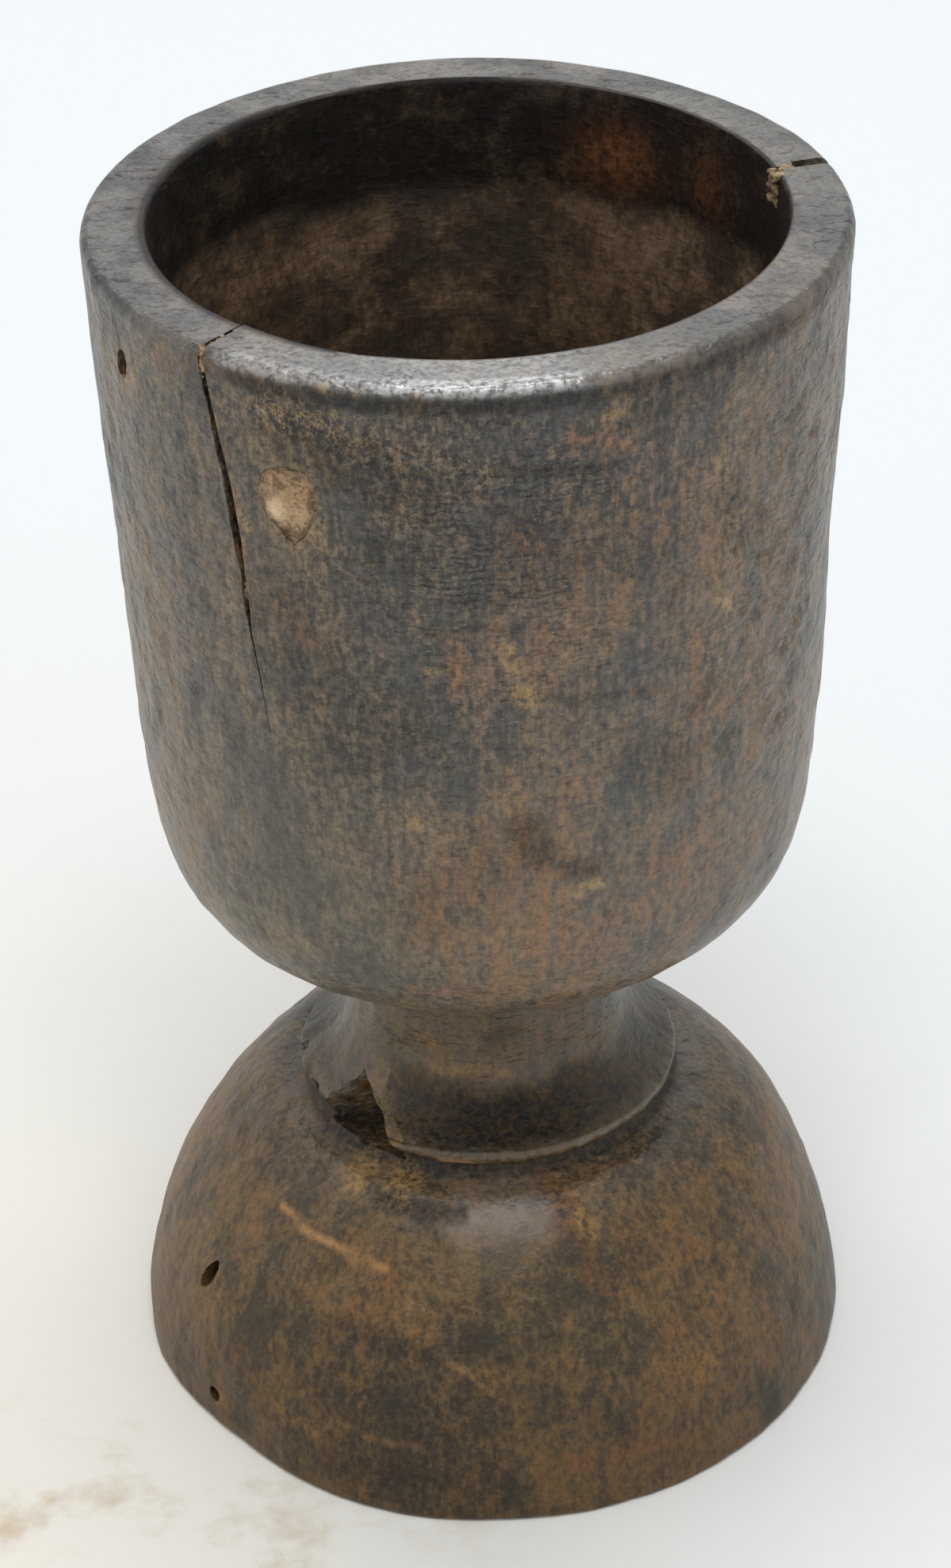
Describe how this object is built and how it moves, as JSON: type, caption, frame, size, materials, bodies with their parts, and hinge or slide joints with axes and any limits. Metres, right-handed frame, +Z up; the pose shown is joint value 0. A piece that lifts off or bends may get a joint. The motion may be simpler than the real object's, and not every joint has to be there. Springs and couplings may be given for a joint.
{
  "type": "wooden cup",
  "caption": "Goblet-shaped wooden cup turned from one block, with a deep thick-walled bowl, a waisted neck with a thin lip, a domed foot, and old filler in its cracks.",
  "frame": {"origin": "centre of the flat underside of the foot, on the surface that the cup stands on", "axes": "+Z up along the turning axis, -Y the side that faces the viewer in the picture, +X to the viewer's right"},
  "size_m": [0.1048, 0.1048, 0.181],
  "materials": {
    "dark_wood": "hand-rubbed dark brown wood with an old satin patina, orange-brown where rubbed through",
    "pale_filler": "dry, crumbly pale yellow-brown filler",
    "tan_filler": "matte tan filler, rubbed smooth in places"
  },
  "bodies": {
    "root": {"cup_body": "dark_wood", "front_crack_filler_top": "pale_filler", "front_crack_filler_low": "pale_filler", "back_crack_filler": "pale_filler", "wall_loss_filler": "tan_filler"}
  },
  "joints": []
}
